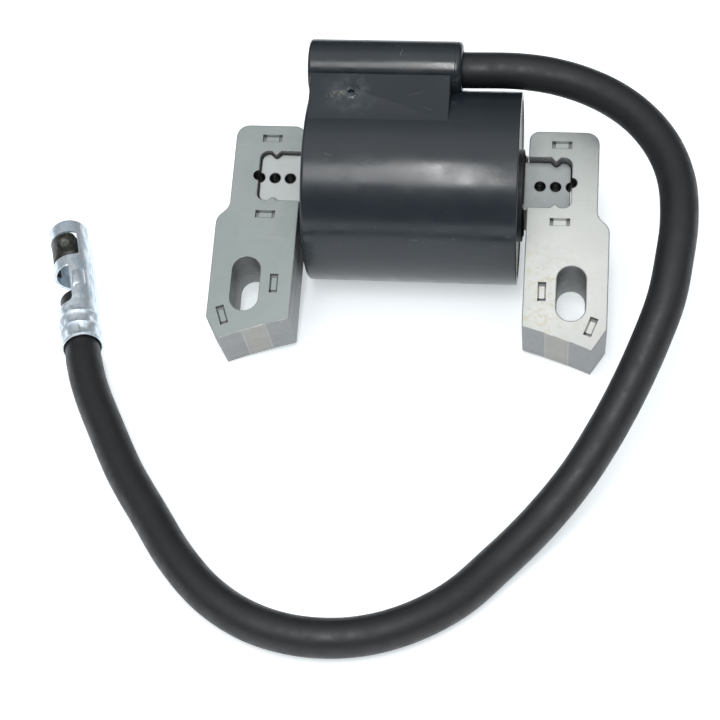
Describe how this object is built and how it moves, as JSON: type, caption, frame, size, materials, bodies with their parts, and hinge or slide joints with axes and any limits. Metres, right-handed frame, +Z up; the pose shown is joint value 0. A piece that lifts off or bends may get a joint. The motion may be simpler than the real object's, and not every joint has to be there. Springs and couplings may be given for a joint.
{
  "type": "ignition coil",
  "caption": "Potted ignition coil on a laminated two-leg armature, with a slotted foot on each leg, a spark plug lead and a push-on terminal.",
  "frame": {"origin": "under the middle of the footprint of the coil and its armature, on the table that it lies on; the lead and its terminal aren't counted", "axes": "+X along the coil's core towards the side that the lead leaves; +Y from the pole faces towards the lead's tower; +Z up"},
  "size_m": [0.1295, 0.1185, 0.0425],
  "materials": {
    "lamination_steel": "punched electrical sheet, satin",
    "black_plastic": "moulded, satin",
    "grey_resin": "cast resin, satin",
    "black_nylon": "moulded, satin",
    "pale_plastic": "moulded, satin",
    "copper": "enamelled wire",
    "circuit_board": "coated laminate",
    "black_epoxy": "moulded",
    "brass": "plain",
    "rubber": "matte extruded",
    "zinc_plate": "bright plated",
    "bronze": "darkened spring bronze"
  },
  "bodies": {
    "root": {"left_leg_laminations": "lamination_steel", "right_leg_laminations": "lamination_steel", "core_bar_laminations": "lamination_steel", "coil_housing": "black_plastic", "potting_resin": "grey_resin", "primary_bobbin": "black_nylon", "primary_winding": "copper", "secondary_bobbin": "pale_plastic", "secondary_winding_1": "copper", "secondary_winding_2": "copper", "secondary_winding_3": "copper", "secondary_winding_4": "copper", "secondary_winding_5": "copper", "core_wedge_front": "pale_plastic", "core_wedge_back": "pale_plastic", "circuit_board": "circuit_board", "trigger_transistor": "black_epoxy", "driver_transistor": "black_epoxy", "bias_resistor": "pale_plastic", "feedback_resistor": "pale_plastic", "damping_capacitor": "pale_plastic", "earth_strip": "zinc_plate", "high_tension_link": "brass", "lead_contact_pin": "brass", "terminal_barrel": "zinc_plate", "crimped_lead_end": "rubber", "lead_wire_tip": "copper", "spark_plug_lead": "rubber"},
    "spring": {"retaining_spring": "bronze"}
  },
  "joints": [
    {"name": "spring_flex", "type": "hinge", "parent": "root", "child": "spring", "pos_m": [-0.07128, -0.00382, 0.00631], "axis": [0.7136, 0.2073, 0.6691], "range_deg": [0, 5], "stiffness_Nm_per_rad": 0.5}
  ]
}
